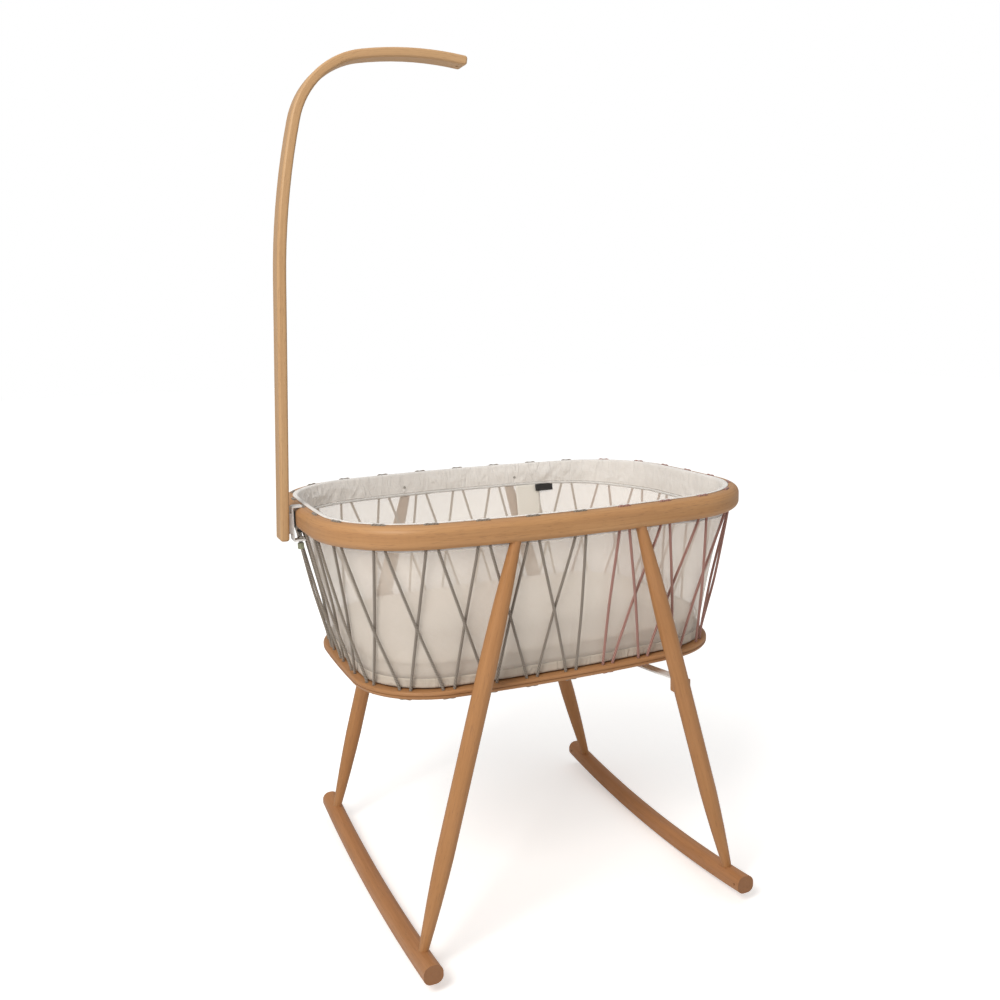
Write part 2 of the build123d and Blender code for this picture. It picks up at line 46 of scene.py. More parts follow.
# ---- Camera ----
# A long portrait view from the front left, a little above the basket's rim.
# The lens looks slightly down and is rolled by about a degree.
turn, dip, roll = 0.4138, 0.1659, -0.0235
ahead = Vector((sin(turn) * cos(dip), cos(turn) * cos(dip), -sin(dip)))
level = Vector((cos(turn), -sin(turn), 0))
over = level.cross(ahead)
right = level * cos(roll) + over * sin(roll)
upward = over * cos(roll) - level * sin(roll)
lens = bpy.data.cameras.new("camera")
lens.lens = 37.07
lens.shift_x, lens.shift_y = -0.0184, -0.0096
lens.clip_end = 50
camera = bpy.data.objects.new("camera", lens)
bpy.context.collection.objects.link(camera)
camera.matrix_world = Matrix.Translation((-0.7559, -1.7933, 1.0817)) @ Matrix(
    (right, upward, -ahead)).transposed().to_4x4()
bpy.context.scene.camera = camera


# ---- Studio ----
# White paper under the stand, a large soft key high at the front left, a weak fill
# from the front right and a soft light above. Paper and air look white from the camera.
bpy.ops.mesh.primitive_plane_add(size=24, location=(0, 4, -0.0005))
floor = bpy.context.object
floor.name = "studio_floor"
floor.data.name = "studio_floor"
paper = bpy.data.materials.new("studio_paper")
paper.use_nodes = True
shader = paper.node_tree.nodes["Principled BSDF"]
shader.inputs["Base Color"].default_value = (0.93, 0.93, 0.93, 1)
shader.inputs["Roughness"].default_value = 0.9
shader.inputs["Specular IOR Level"].default_value = 0.1
shader.inputs["Emission Color"].default_value = (1, 0.985, 0.965, 1)
tree = paper.node_tree
spot = tree.nodes.new("ShaderNodeNewGeometry")
away = tree.nodes.new("ShaderNodeVectorMath")
away.operation = "LENGTH"
fade = tree.nodes.new("ShaderNodeMapRange")
for socket, value in zip(("From Min", "From Max", "To Min", "To Max"), (0.5, 2.0, 0.40, 0.66)):
    fade.inputs[socket].default_value = value
seen = tree.nodes.new("ShaderNodeLightPath")
glow = tree.nodes.new("ShaderNodeMath")
glow.operation = "MULTIPLY"
tree.links.new(spot.outputs["Position"], away.inputs[0])
tree.links.new(away.outputs["Value"], fade.inputs["Value"])
tree.links.new(seen.outputs["Is Camera Ray"], glow.inputs[0])
tree.links.new(fade.outputs[0], glow.inputs[1])
tree.links.new(glow.outputs[0], shader.inputs["Emission Strength"])
floor.data.materials.append(paper)

world = bpy.data.worlds.new("studio_air")
bpy.context.scene.world = world
world.use_nodes = True
sky = world.node_tree
sky.nodes["Background"].inputs["Color"].default_value = (1, 1, 1, 1)
seen = sky.nodes.new("ShaderNodeLightPath")
level = sky.nodes.new("ShaderNodeMath")
level.operation = "MULTIPLY_ADD"
level.inputs[1].default_value, level.inputs[2].default_value = 0.56, 0.44
sky.links.new(seen.outputs["Is Camera Ray"], level.inputs[0])
sky.links.new(level.outputs[0], sky.nodes["Background"].inputs["Strength"])
bpy.context.scene.view_settings.view_transform = "Standard"


def soft_light(name, place, target, size, power, colour=(1, 1, 1)):
    """A square soft box at a place, facing a target."""
    light = bpy.data.lights.new(name, "AREA")
    light.shape = "SQUARE"
    light.size, light.energy, light.color = size, power, colour
    lamp = bpy.data.objects.new(name, light)
    lamp.location = place
    lamp.rotation_euler = (Vector(target) - Vector(place)).to_track_quat("-Z", "Y").to_euler()
    bpy.context.collection.objects.link(lamp)


soft_light("key", (-2.2, -2.0, 3.0), (0, 0, 0.6), 1.4, 88, (1, 0.985, 0.96))
soft_light("fill", (2.6, -2.4, 1.6), (0, 0, 0.6), 2.0, 4)
soft_light("top", (0, 0.4, 3.4), (0, 0, 0.6), 2.6, 16)


# ---- Node helpers for the wood ----
# Small wrappers that add a shader node and join its sockets, so that a material
# below reads as one line for each step.
def add_node(tree, kind, inputs=(), **settings):
    """A new node with its settings, and inputs given as values or as another node's output."""
    node = tree.nodes.new(kind)
    for key, value in settings.items():
        setattr(node, key, value)
    pairs = inputs.items() if isinstance(inputs, dict) else enumerate(inputs)
    for key, value in pairs:
        if isinstance(value, bpy.types.NodeSocket):
            tree.links.new(value, node.inputs[key])
        elif value is not None:
            node.inputs[key].default_value = value
    return node


def maths(tree, operation, *inputs):
    return add_node(tree, "ShaderNodeMath", inputs, operation=operation).outputs[0]


def ramp(tree, value, *stops):
    """A colour ramp of grey or coloured stops: (place, grey) or (place, (r, g, b))."""
    node = add_node(tree, "ShaderNodeValToRGB", (value,))
    elements = node.color_ramp.elements
    while len(elements) < len(stops):
        elements.new(0.5)
    for element, (place, tone) in zip(elements, stops):
        element.position = place
        element.color = (tone, tone, tone, 1) if isinstance(tone, (int, float)) else (*tone, 1)
    return node.outputs[0]


def mix(tree, factor, low, high, blend="MIX"):
    node = add_node(tree, "ShaderNodeMix", data_type="RGBA", blend_type=blend)
    for socket, value in ((node.inputs[0], factor), (node.inputs[6], low), (node.inputs[7], high)):
        if isinstance(value, bpy.types.NodeSocket):
            tree.links.new(value, socket)
        else:
            socket.default_value = value if isinstance(value, (int, float)) else (*value, 1)
    return node.outputs[2]


def new_group(name, inputs, outputs):
    """A shader node group with named sockets, and its input and output nodes."""
    tree = bpy.data.node_groups.new(name, "ShaderNodeTree")
    kinds = {"vector": "NodeSocketVector", "value": "NodeSocketFloat", "colour": "NodeSocketColor"}
    for label, kind in inputs:
        tree.interface.new_socket(label, in_out="INPUT", socket_type=kinds[kind])
    for label, kind in outputs:
        tree.interface.new_socket(label, in_out="OUTPUT", socket_type=kinds[kind])
    source = tree.nodes.new("NodeGroupInput")
    sink = tree.nodes.new("NodeGroupOutput")
    return tree, source.outputs, sink.inputs


def new_material(name, roughness=0.5, **shader_values):
    """A material, its node tree and its Principled shader, with the constant sockets set."""
    made = bpy.data.materials.new(name)
    made.use_nodes = True
    principled = made.node_tree.nodes["Principled BSDF"]
    principled.inputs["Roughness"].default_value = roughness
    for label, value in shader_values.items():
        principled.inputs[label.replace("_", " ")].default_value = value
    return made, made.node_tree, principled


def bump(tree, height, strength, distance):
    return add_node(tree, "ShaderNodeBump", {"Height": height, "Strength": strength,
                                             "Distance": distance}).outputs[0]


def speckle(tree, scale, detail):
    """Noise on the piece's Object coordinates, with features of about one over the scale in metres."""
    place = add_node(tree, "ShaderNodeTexCoord").outputs["Object"]
    return add_node(tree, "ShaderNodeTexNoise",
                    {"Vector": place, "Scale": scale, "Detail": detail}).outputs[0]


def repaint(node_name, material):
    """Gives a CAD node its finished material."""
    mesh = nodes[node_name].data
    mesh.materials.clear()
    mesh.materials.append(material)


# ---- Beech ----
# Steamed beech under a clear oil: straight grain with soft darker streaks, short dark
# ray flecks and thin glue lines where the bar is laminated. The group works in the bar's
# own grain space: metres along it, across it and through it.
beech_group, grain_in, grain_out = new_group(
    "beech grain",
    [("Along", "value"), ("Across", "value"), ("Through", "value"), ("Light", "colour"),
     ("Dark", "colour"), ("Glue lines", "value")],
    [("Colour", "colour"), ("Roughness", "value"), ("Height", "value")])
tree = beech_group


def grain_space(along, across, through, shift=0.0):
    """A point in grain space, stretched by a scale for each direction."""
    parts = [maths(tree, "MULTIPLY_ADD", grain_in[label], scale, shift)
             for label, scale in (("Along", along), ("Across", across), ("Through", through))]
    return add_node(tree, "ShaderNodeCombineXYZ", parts).outputs[0]


def grain_noise(space, detail=4, roughness=0.6, distortion=0.0):
    return add_node(tree, "ShaderNodeTexNoise",
                    {"Vector": space, "Scale": 1.0, "Detail": detail, "Roughness": roughness,
                     "Distortion": distortion}).outputs[0]


broad = ramp(tree, grain_noise(grain_space(2.2, 38, 38), 3), (0.3, 0.0), (0.7, 1.0))
streaks = ramp(tree, grain_noise(grain_space(5, 210, 210, 3.1), 5, 0.65, 0.3), (0.36, 0.0), (0.66, 1.0))
pores = ramp(tree, grain_noise(grain_space(55, 900, 900, 7.7), 2, 0.5), (0.60, 0.0), (0.70, 1.0))
patches = ramp(tree, grain_noise(grain_space(7, 9, 9, 1.3), 2), (0.3, 0.0), (0.75, 1.0))
LAYER = 0.0032                          # how thick one laminated strip is
glue_wave = maths(tree, "MULTIPLY", grain_in["Across"], 1 / LAYER)
glue = ramp(tree, maths(tree, "PINGPONG", glue_wave, 0.5), (0.0, 1.0), (0.09, 0.0))
glue = maths(tree, "MULTIPLY", glue, grain_in["Glue lines"])
wood = mix(tree, maths(tree, "MULTIPLY", broad, 0.45), grain_in["Light"], grain_in["Dark"])
wood = mix(tree, maths(tree, "MULTIPLY", streaks, 0.5), wood, grain_in["Dark"])
wood = mix(tree, maths(tree, "MULTIPLY", pores, 0.42), wood, (0.20, 0.095, 0.045))
wood = mix(tree, maths(tree, "MULTIPLY", patches, 0.10), wood, (0.75, 0.42, 0.24))
wood = mix(tree, maths(tree, "MULTIPLY", glue, 0.55), wood, (0.23, 0.11, 0.05))
tree.links.new(wood, grain_out["Colour"])
tree.links.new(maths(tree, "MULTIPLY_ADD", streaks, 0.10, 0.42), grain_out["Roughness"])
relief = maths(tree, "ADD", maths(tree, "MULTIPLY", pores, -0.6), maths(tree, "MULTIPLY", streaks, 0.35))
tree.links.new(maths(tree, "MULTIPLY_ADD", glue, -0.5, relief), grain_out["Height"])


def object_axes(tree):
    """The three Object coordinates as values."""
    place = add_node(tree, "ShaderNodeTexCoord").outputs["Object"]
    return add_node(tree, "ShaderNodeSeparateXYZ", (place,)).outputs


def beech(name, grain_of, light=(0.53, 0.285, 0.118), dark=(0.375, 0.175, 0.065), glue_lines=0.0,
          end_axis=None):
    """Beech whose grain space comes from grain_of, with darker end grain facing end_axis."""
    made, tree, principled = new_material(name, Coat_Weight=0.05, Coat_Roughness=0.35,
                                          Specular_IOR_Level=0.3)
    along, across, through = grain_of(tree)
    group = add_node(tree, "ShaderNodeGroup", node_tree=beech_group)
    for label, value in (("Along", along), ("Across", across), ("Through", through)):
        tree.links.new(value, group.inputs[label])
    group.inputs["Light"].default_value = (*light, 1)
    group.inputs["Dark"].default_value = (*dark, 1)
    group.inputs["Glue lines"].default_value = glue_lines
    colour = group.outputs["Colour"]
    if end_axis is not None:
        facing = add_node(tree, "ShaderNodeTexCoord").outputs["Normal"]
        facing = add_node(tree, "ShaderNodeSeparateXYZ", (facing,)).outputs[end_axis]
        cut = ramp(tree, maths(tree, "ABSOLUTE", facing), (0.80, 0.0), (0.95, 1.0))
        colour = mix(tree, maths(tree, "MULTIPLY", cut, 0.6), colour, (0.20, 0.09, 0.042))
    tree.links.new(colour, principled.inputs["Base Color"])
    tree.links.new(group.outputs["Roughness"], principled.inputs["Roughness"])
    tree.links.new(bump(tree, group.outputs["Height"], 0.25, 0.0004), principled.inputs["Normal"])
    return made


def span(tree, dx, dy):
    """How long a step of dx and dy is."""
    return maths(tree, "SQRT", maths(tree, "MULTIPLY_ADD", dx, dx, maths(tree, "MULTIPLY", dy, dy)))


def leaning(angle):
    """Grain up a bar that leans by an angle about Y."""
    def space(tree):
        x, y, z = object_axes(tree)
        across = maths(tree, "SUBTRACT", maths(tree, "MULTIPLY", x, cos(angle)),
                       maths(tree, "MULTIPLY", z, sin(angle)))
        along = maths(tree, "ADD", maths(tree, "MULTIPLY", x, sin(angle)),
                      maths(tree, "MULTIPLY", z, cos(angle)))
        return along, across, y
    return space


# ---- Basket outlines ----
# The rim, the base and the cloth inside follow one kind of closed outline: two side
# arcs, two end arcs and four corner arcs, all tangent. Millimetres about its centre.
class Outline:
    def __init__(self, half_length, half_width, side, end, corner):
        self.a, self.b, self.side, self.end, self.corner = half_length, half_width, side, end, corner
        side_y, end_x = half_width - side, half_length - end
        near, far = side - corner, end - corner
        gap = hypot(end_x, side_y)
        reach = (near**2 - far**2 + gap**2) / (2 * gap)
        swing = sqrt(near**2 - reach**2)
        ux, uy = end_x / gap, -side_y / gap
        self.cx, self.cy = ux * reach + uy * swing, side_y + uy * reach - ux * swing
        self.side_turn = atan2(self.cx, self.cy - side_y)
        self.end_turn = atan2(self.cy, self.cx - end_x)
        self.lengths = (side * self.side_turn, corner * (pi / 2 - self.side_turn - self.end_turn),
                        end * self.end_turn)
        self.perimeter = 4 * sum(self.lengths)

    def inside(self, d):
        return Outline(self.a - d, self.b - d, self.side - d, self.end - d, self.corner - d)

    def quarter(self, s):
        """The point and its normal's turn from Y, at arc length s from the side's middle."""
        first, second, _ = self.lengths
        if s <= first:
            t = s / self.side
            return self.side * sin(t), self.side * cos(t) + self.b - self.side, t
        if s <= first + second:
            t = self.side_turn + (s - first) / self.corner
            return self.cx + self.corner * sin(t), self.cy + self.corner * cos(t), t
        t = pi / 2 - self.end_turn + (s - first - second) / self.end
        return self.end * sin(t) + self.a - self.end, self.end * cos(t), t

    def at(self, s):
        """Point and outward normal at arc length s from the front's middle, going to the right."""
        s = s % self.perimeter
        half = self.perimeter / 2
        folded = s if s <= half else self.perimeter - s
        x, y, t = self.quarter(min(folded, half - folded))
        sign_x = 1 if s <= half else -1
        sign_y = -1 if folded <= half / 2 else 1
        return Vector((x * sign_x, y * sign_y)), Vector((sin(t) * sign_x, cos(t) * sign_y))


stitch_line = Outline(400, 292, 1660, 3000, 180)
base_edge = Outline(354, 257, 2200, 3000, 150)
rim_low, rim_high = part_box("rim")
base_low, base_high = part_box("base_ring")
basket_x = (rim_low.x + rim_high.x) / 2
RIM_TOP, RIM_BOTTOM = rim_high.z * 1000, rim_low.z * 1000
BASE_TOP, BASE_BOTTOM = base_high.z * 1000, base_low.z * 1000


def round_outline(outline):
    """Grain that runs round an outline, its layers a constant distance inside its edge."""
    def space(tree):
        x, y, z = object_axes(tree)
        x = maths(tree, "SUBTRACT", x, basket_x)
        along = maths(tree, "MULTIPLY", maths(tree, "ARCTAN2", y, x), outline.perimeter / 2000 / pi)
        fold_x, fold_y = maths(tree, "ABSOLUTE", x), maths(tree, "ABSOLUTE", y)
        depths = []
        for centre_x, centre_y, radius in ((0, outline.b - outline.side, outline.side),
                                           (outline.cx, outline.cy, outline.corner),
                                           (outline.a - outline.end, 0, outline.end)):
            dx = maths(tree, "SUBTRACT", fold_x, centre_x / 1000)
            dy = maths(tree, "SUBTRACT", fold_y, centre_y / 1000)
            depths.append((maths(tree, "SUBTRACT", radius / 1000, span(tree, dx, dy)), dx, dy))
        turn = maths(tree, "ARCTAN2", depths[1][1], depths[1][2])
        on_corner = maths(tree, "GREATER_THAN", turn, outline.side_turn)
        on_end = maths(tree, "GREATER_THAN", turn, pi / 2 - outline.end_turn)
        across = maths(tree, "MULTIPLY", depths[0][0], maths(tree, "SUBTRACT", 1, on_corner))
        middle = maths(tree, "SUBTRACT", on_corner, on_end)
        across = maths(tree, "MULTIPLY_ADD", depths[1][0], middle, across)
        across = maths(tree, "MULTIPLY_ADD", depths[2][0], on_end, across)
        return along, across, z
    return space


# ---- Rim and base ring ----
# The rim is laminated from bent beech strips, heavily rounded over. The base ring is
# bent the same way, and carries a plywood panel in its rebate.
repaint("rim", beech("beech_rim", round_outline(stitch_line), glue_lines=0.25))
repaint("base_ring", beech("beech_base_ring", round_outline(base_edge), (0.47, 0.235, 0.095),
                           (0.32, 0.14, 0.050), glue_lines=0.35))


def lengthwise(tree):
    """Grain along X."""
    x, y, z = object_axes(tree)
    return x, y, z


repaint("base_panel", beech("beech_panel", lengthwise, (0.50, 0.285, 0.14), (0.38, 0.19, 0.088)))


# ---- Legs and their dowels ----
# Four turned legs, thick in the middle and thin at both ends, splayed along the basket.
# Each has a tenon in its rocker, and a dowel into the rim's underside.
leg_low, leg_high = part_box("leg_front_right")
leg_lean = atan2(leg_high.x - leg_low.x - 0.02, leg_high.z - leg_low.z)
for side, lean in (("left", leg_lean), ("right", -leg_lean)):
    leg_wood = beech(f"beech_legs_{side}", leaning(lean), (0.47, 0.225, 0.083), (0.33, 0.145, 0.050))
    for end in ("front", "back"):
        repaint(f"leg_{end}_{side}", leg_wood)
repaint("leg_dowels", beech("beech_dowels", leaning(0.0)))


# ---- Rockers ----
# Two bars of nearly round section, bent to a large radius, with flat sawn ends that
# show darker end grain. A small blind hole is left on the inner face near each tip.
ROCKER_BEND = 2.88


def along_rocker(tree):
    """Grain along a rocker, its layers a constant distance above the rocker's bottom line."""
    x, y, z = object_axes(tree)
    rise = maths(tree, "SUBTRACT", z, ROCKER_BEND)
    return y, maths(tree, "SUBTRACT", ROCKER_BEND, span(tree, y, rise)), x


rocker_wood = beech("beech_rockers", along_rocker, (0.48, 0.222, 0.085), (0.32, 0.135, 0.048), end_axis=1)
for name in ("rocker_left", "rocker_right"):
    repaint(name, rocker_wood)


# ---- Tie between the right-hand legs ----
# Two small beech blocks, each coped to its leg, and a flat steel strip with a white
# powder coat that bows inwards between them. One screw holds each of its ends.
block_wood = beech("beech_blocks", lengthwise, (0.50, 0.25, 0.10), (0.33, 0.15, 0.055))
for name in ("tie_block_front", "tie_block_back"):
    repaint(name, block_wood)

powder_coat, tree, principled = new_material("white_powder_coat", 0.42, Coat_Weight=0.15)
peel = speckle(tree, 900.0, 2.0)
tree.links.new(ramp(tree, peel, (0.2, (0.70, 0.69, 0.67)), (0.8, (0.80, 0.79, 0.77))),
               principled.inputs["Base Color"])
tree.links.new(bump(tree, peel, 0.12, 0.0003), principled.inputs["Normal"])
repaint("leg_tie", powder_coat)


# ---- Screws, nut and clamp screw ----
# Zinc-plated steel: a grey metal with a faint yellow cast and turned marks.
zinc, tree, principled = new_material("zinc_plate", 0.35, Metallic=1.0)
cloud = speckle(tree, 240.0, 3.0)
tree.links.new(ramp(tree, cloud, (0.3, (0.42, 0.41, 0.38)), (0.7, (0.62, 0.60, 0.55))),
               principled.inputs["Base Color"])
tree.links.new(maths(tree, "MULTIPLY_ADD", cloud, 0.3, 0.2), principled.inputs["Roughness"])
for name in ("base_screws", "tie_screws", "pole_screws", "clamp_nut"):
    repaint(name, zinc)

thread, tree, principled = new_material("zinc_thread", 0.32, Metallic=1.0)
x, y, z = object_axes(tree)
screw_low, screw_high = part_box("clamp_screw")
PITCH = 0.001
turn_at = maths(tree, "ARCTAN2", y, maths(tree, "SUBTRACT", x, (screw_low.x + screw_high.x) / 2))
helix = maths(tree, "MULTIPLY_ADD", z, 2 * pi / PITCH, turn_at)
crest = maths(tree, "MULTIPLY_ADD", maths(tree, "SINE", helix), 0.5, 0.5)
# The thread's roots are painted dark against its light crests: painted shade in the grooves.
tree.links.new(ramp(tree, crest, (0.0, (0.16, 0.155, 0.15)), (0.6, (0.60, 0.58, 0.54))),
               principled.inputs["Base Color"])
tree.links.new(bump(tree, crest, 0.9, 0.0005), principled.inputs["Normal"])
repaint("clamp_screw", thread)


# ---- Canopy pole ----
# A lamination of thin beech strips bent over at the top, pale, with its glue lines
# running the whole length on both narrow sides. Its arcs are the ones it is bent to.
POLE_ARCS = ((1.34, 0.0475, 0.245), (0.148, 0.245, 1.40), (0.60, 1.40, 1.718))     # radius, lean from, to
POLE_FOOT_AT = (-0.4384 + 0.015205, 0.7058)
POLE_STRAIGHT = 0.45


def along_pole(tree):
    """Grain along the pole's straight stretch and then each of its arcs."""
    x, y, z = object_axes(tree)
    foot_x, foot_z = POLE_FOOT_AT
    lean = POLE_ARCS[0][1]
    dx, dz = maths(tree, "SUBTRACT", x, foot_x), maths(tree, "SUBTRACT", z, foot_z)
    along = maths(tree, "MULTIPLY_ADD", dx, sin(lean), maths(tree, "MULTIPLY", dz, cos(lean)))
    across = maths(tree, "SUBTRACT", maths(tree, "MULTIPLY", dx, cos(lean)),
                   maths(tree, "MULTIPLY", dz, sin(lean)))
    bend_x, bend_z = foot_x + POLE_STRAIGHT * sin(lean), foot_z + POLE_STRAIGHT * cos(lean)
    length = POLE_STRAIGHT
    reached = maths(tree, "GREATER_THAN", along, POLE_STRAIGHT)
    for radius, lean, next_lean in POLE_ARCS:
        centre_x, centre_z = bend_x + radius * cos(lean), bend_z - radius * sin(lean)
        dx, dz = maths(tree, "SUBTRACT", centre_x, x), maths(tree, "SUBTRACT", z, centre_z)
        angle = maths(tree, "ARCTAN2", dz, dx)
        arc_along = maths(tree, "MULTIPLY_ADD", angle, radius, length - radius * lean)
        arc_across = maths(tree, "SUBTRACT", radius, span(tree, dx, dz))
        here = maths(tree, "MULTIPLY", reached, maths(tree, "GREATER_THAN", angle, lean))
        along = maths(tree, "MULTIPLY_ADD", maths(tree, "SUBTRACT", arc_along, along), here, along)
        across = maths(tree, "MULTIPLY_ADD", maths(tree, "SUBTRACT", arc_across, across), here, across)
        bend_x, bend_z = centre_x - radius * cos(next_lean), centre_z + radius * sin(next_lean)
        length += radius * (next_lean - lean)
    return along, across, y


repaint("canopy_pole", beech("beech_pole", along_pole, (0.58, 0.365, 0.185), (0.43, 0.24, 0.105),
                             glue_lines=0.55))


# ---- Clamp ----
# A bent steel bracket with a white powder coat hooks over the rim. Its black rubber
# pad, the pad on its screw and an olive plastic knob are moulded.
repaint("clamp_bracket", powder_coat)

rubber, tree, principled = new_material("black_rubber", 0.75)
dust = speckle(tree, 320.0, 4.0)
tree.links.new(ramp(tree, dust, (0.3, (0.012, 0.012, 0.012)), (0.8, (0.030, 0.030, 0.029))),
               principled.inputs["Base Color"])
tree.links.new(bump(tree, dust, 0.3, 0.0002), principled.inputs["Normal"])
repaint("clamp_rubber", rubber)
repaint("clamp_pad", rubber)


def moulded(name, low, high, roughness=0.5):
    """Matt moulded plastic with a fine sparked texture."""
    made, tree, principled = new_material(name, roughness)
    spark = speckle(tree, 1400.0, 2.0)
    tree.links.new(ramp(tree, spark, (0.3, low), (0.7, high)), principled.inputs["Base Color"])
    tree.links.new(bump(tree, spark, 0.15, 0.0002), principled.inputs["Normal"])
    return made


repaint("clamp_knob", moulded("olive_knob", (0.25, 0.26, 0.165), (0.33, 0.34, 0.23)))
repaint("pole_spacer", moulded("white_spacer", (0.70, 0.69, 0.67), (0.78, 0.77, 0.75)))


# ---- Rope lacing ----
# A soft laid rope, 5 mm thick, stitched down and up between the rim and the base. Each
# run leaves a rim stitch, drops through the rim, crosses its neighbour half way down and
# goes through the base. The front and left are taupe; ten stitches at the right are rose.
STITCHES = 28
STITCH_LENGTH = 20
ROPE_R = 2.5
ROPE_SINK = 0.2
CROSSING = 0.553
CROSSING_BOW = 3.8
ROSE_STITCHES = range(1, 11)
BASE_HOLE_INSET = 9.5
base_holes = base_edge.inside(BASE_HOLE_INSET)
REACH = (2, 2.5, 9, 30, 9, 2.5, 2)      # how far the rope's curve keeps its direction at each point


def stitch_holes(line, j):
    """The left hole, the right hole and the chord's middle of stitch j."""
    s = j * line.perimeter / STITCHES
    left, right = line.at(s - STITCH_LENGTH / 2)[0], line.at(s + STITCH_LENGTH / 2)[0]
    return left, right, (left + right) / 2


def rope_route(j, side):
    """The points of one run, from the middle of its rim stitch to the middle of its base stitch."""
    left, right, top_middle = stitch_holes(stitch_line, j)
    top = left if side == "left" else right
    pair, foot_side = (j + 1, "left") if side == "right" else (j - 1, "right")
    if (j, side) in ((0, "right"), (1, "left")):
        pair, foot_side = j, side           # the two ropes start side by side at the front
    base_left, base_right, base_middle = stitch_holes(base_holes, pair)
    foot = base_left if foot_side == "left" else base_right
    normal = stitch_line.at(j * stitch_line.perimeter / STITCHES)[1]
    bow = normal * (CROSSING_BOW if side == "right" else -CROSSING_BOW)
    high, low = RIM_BOTTOM - 2, BASE_TOP + 2
    cross = top.lerp(foot, CROSSING) + bow
    return [(*top_middle, RIM_TOP - ROPE_SINK), (*top, RIM_TOP - ROPE_SINK), (*top, high),
            (*cross, high + (low - high) * CROSSING), (*foot, low), (*foot, BASE_BOTTOM + ROPE_SINK),
            (*base_middle, BASE_BOTTOM + ROPE_SINK)]


def rope_curve(points):
    """A smooth curve through a run's points, in metres, read back as a line of vertices."""
    curve = bpy.data.curves.new("run", "CURVE")
    curve.dimensions = "3D"
    curve.resolution_u = 9
    spline = curve.splines.new("BEZIER")
    spline.bezier_points.add(len(points) - 1)
    spots = [Vector(p) / 1000 + Vector((basket_x, 0, 0)) for p in points]
    for i, (knot, spot) in enumerate(zip(spline.bezier_points, spots)):
        before, after = spots[max(i - 1, 0)], spots[min(i + 1, len(spots) - 1)]
        way = ((spot - before).normalized() + (after - spot).normalized()).normalized()
        knot.co = spot
        knot.handle_left = spot - way * REACH[i] / 1000
        knot.handle_right = spot + way * REACH[i] / 1000
    holder = bpy.data.objects.new("run", curve)
    bpy.context.collection.objects.link(holder)
    line = bpy.data.meshes.new_from_object(holder)
    run = [v.co.copy() for v in line.vertices]
    bpy.data.objects.remove(holder)
    bpy.data.meshes.remove(line)
    bpy.data.curves.remove(curve)
    return run


def sweep(shape, uv_layer, line, radius, sides=10):
    """Adds a tube along a line to a bmesh, with u as metres along it and v as turns round it."""
    way = (line[1] - line[0]).normalized()
    normal = way.orthogonal().normalized()
    rings, marks, travelled = [], [], 0.0
    for i, spot in enumerate(line):
        after = line[min(i + 1, len(line) - 1)]
        before = line[max(i - 1, 0)]
        next_way = (after - before).normalized()
        normal = (way.rotation_difference(next_way) @ normal).normalized()
        way = next_way
        side = way.cross(normal)
        rings.append([shape.verts.new(spot + (normal * cos(2 * pi * k / sides)
                                              + side * sin(2 * pi * k / sides)) * radius)
                      for k in range(sides)])
        marks.append(travelled)
        travelled += (after - spot).length
    for i in range(len(rings) - 1):
        for k in range(sides):
            beside = (k + 1) % sides
            face = shape.faces.new((rings[i][k], rings[i][beside], rings[i + 1][beside], rings[i + 1][k]))
            face.smooth = True
            spots = ((marks[i], k), (marks[i], k + 1), (marks[i + 1], k + 1), (marks[i + 1], k))
            for loop, (u, v) in zip(face.loops, spots):
                loop[uv_layer].uv = (u, v / sides)
    shape.faces.new(reversed(rings[0]))
    shape.faces.new(rings[-1])


def piece_of(name, shape, material):
    """A finished object at the origin from a bmesh in metres."""
    mesh = bpy.data.meshes.new(name)
    shape.normal_update()
    shape.to_mesh(mesh)
    shape.free()
    made = bpy.data.objects.new(name, mesh)
    bpy.context.collection.objects.link(made)
    mesh.materials.append(material)
    return made


STRAND_STEP, YARN_STEP = 0.0052, 0.0016     # metres along the rope from one strand or yarn to the next


def laid_rope(name, low, high):
    """Three strands laid round each other, each of fine yarns: u is metres, v is turns."""
    made, tree, principled = new_material(name, 0.85, Sheen_Weight=0.25, Sheen_Roughness=0.5)
    uv = add_node(tree, "ShaderNodeUVMap", uv_map="rope").outputs[0]
    u, v, _ = add_node(tree, "ShaderNodeSeparateXYZ", (uv,)).outputs
    lay = maths(tree, "MULTIPLY_ADD", u, 1 / STRAND_STEP, maths(tree, "MULTIPLY", v, 3))
    strand = maths(tree, "ABSOLUTE", maths(tree, "SINE", maths(tree, "MULTIPLY", lay, pi)))
    yarn = maths(tree, "SINE", maths(tree, "MULTIPLY_ADD", u, -2 * pi / YARN_STEP,
                                     maths(tree, "MULTIPLY", v, 10 * pi)))
    fuzz = speckle(tree, 700.0, 3.0)
    # The grooves between the strands, and faintly between the yarns, are painted darker than their crowns:
    # painted shade between the strands.
    tone = maths(tree, "MULTIPLY_ADD", fuzz, 0.45, maths(tree, "MULTIPLY_ADD", strand, 0.6, -0.1))
    tone = maths(tree, "MULTIPLY_ADD", yarn, 0.06, tone)
    tree.links.new(ramp(tree, tone, (0.05, low), (0.75, high)), principled.inputs["Base Color"])
    height = maths(tree, "MULTIPLY_ADD", yarn, 0.08, strand)
    tree.links.new(bump(tree, height, 0.8, 0.0008), principled.inputs["Normal"])
    return made


taupe_cord = laid_rope("taupe_rope", (0.105, 0.085, 0.066), (0.315, 0.265, 0.215))
rose_cord = laid_rope("rose_rope", (0.165, 0.072, 0.058), (0.460, 0.235, 0.190))
for name, cord_material, wanted in (("lacing_taupe", taupe_cord, False), ("lacing_rose", rose_cord, True)):
    shape = bmesh.new()
    uv_layer = shape.loops.layers.uv.new("rope")
    for j in range(STITCHES):
        if (j in ROSE_STITCHES) == wanted:
            for side in ("left", "right"):
                sweep(shape, uv_layer, rope_curve(rope_route(j, side)), ROPE_R / 1000)
    lacing = piece_of(name, shape, cord_material)
    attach(lacing, "cradle")
    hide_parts("rope_rose" if wanted else "rope_taupe")

